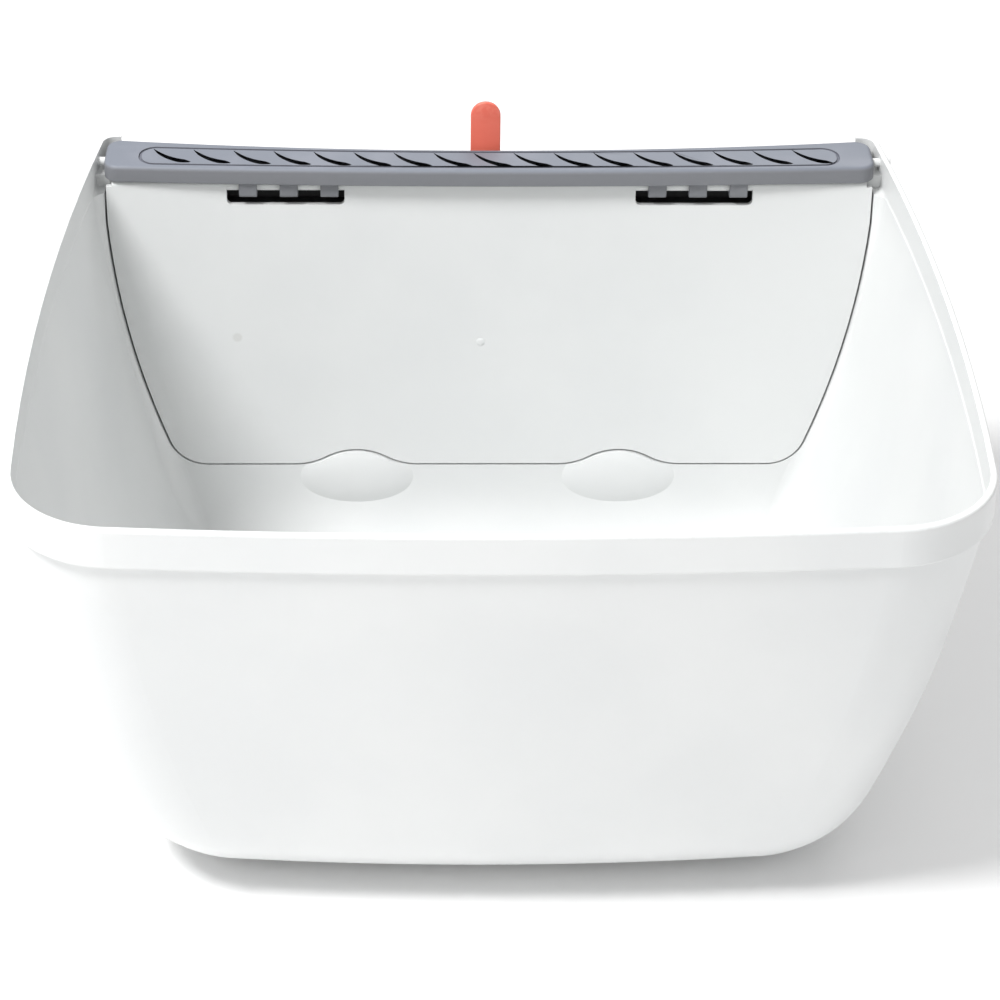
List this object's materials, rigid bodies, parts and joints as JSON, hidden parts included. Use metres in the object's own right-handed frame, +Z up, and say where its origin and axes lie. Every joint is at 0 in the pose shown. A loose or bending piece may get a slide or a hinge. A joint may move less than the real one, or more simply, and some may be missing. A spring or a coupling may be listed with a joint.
{
  "type": "dog waste bin",
  "caption": "Open-topped hand-carried waste tub with a grip bar along its back rim, a back panel hinged under the bar and a thumb release tab.",
  "frame": {"origin": "middle of the footprint, on the surface the tub stands on", "axes": "+Z up, +X along the grip bar to the user's right, +Y from the low front towards the grip bar"},
  "size_m": [0.4, 0.344, 0.236],
  "materials": {
    "white_shell": "smooth moulded plastic, slight sheen",
    "grey_grip": "fine matt moulded plastic",
    "orange_tab": "smooth moulded plastic",
    "black_cover": "matt",
    "steel_strip": "plain rolled steel",
    "steel_fastener": "zinc plated",
    "spring_steel": "bright spring wire",
    "soft_pad": "matt",
    "bolt_plastic": "satin, moulded"
  },
  "bodies": {
    "tub_body": {"tub": "white_shell", "grip_bar": "grey_grip", "grip_core": "steel_strip", "bar_bolt_left": "bolt_plastic", "bar_bolt_right": "bolt_plastic", "panel_bumper_left": "soft_pad", "panel_bumper_right": "soft_pad", "release_bracket": "white_shell", "bracket_screws": "steel_fastener", "lever_pin": "steel_fastener", "release_spring": "spring_steel"},
    "panel_body": {"back_panel": "white_shell", "slot_cover_left": "black_cover", "slot_cover_right": "black_cover", "cover_screws": "steel_fastener", "catch_plate": "steel_strip", "catch_screws": "steel_fastener"},
    "tab_body": {"release_tab": "orange_tab"}
  },
  "joints": [
    {"name": "panel_swing", "type": "hinge", "parent": "tub_body", "child": "panel_body", "pos_m": [0, 0.14194, 0.20365], "axis": [-1, 0, 0], "range_deg": [0, 55]},
    {"name": "release_tilt", "type": "hinge", "parent": "tub_body", "child": "tab_body", "pos_m": [-0.002, 0.159, 0.178], "axis": [1, 0, 0], "range_deg": [0, 8], "stiffness_Nm_per_rad": 0.3}
  ]
}
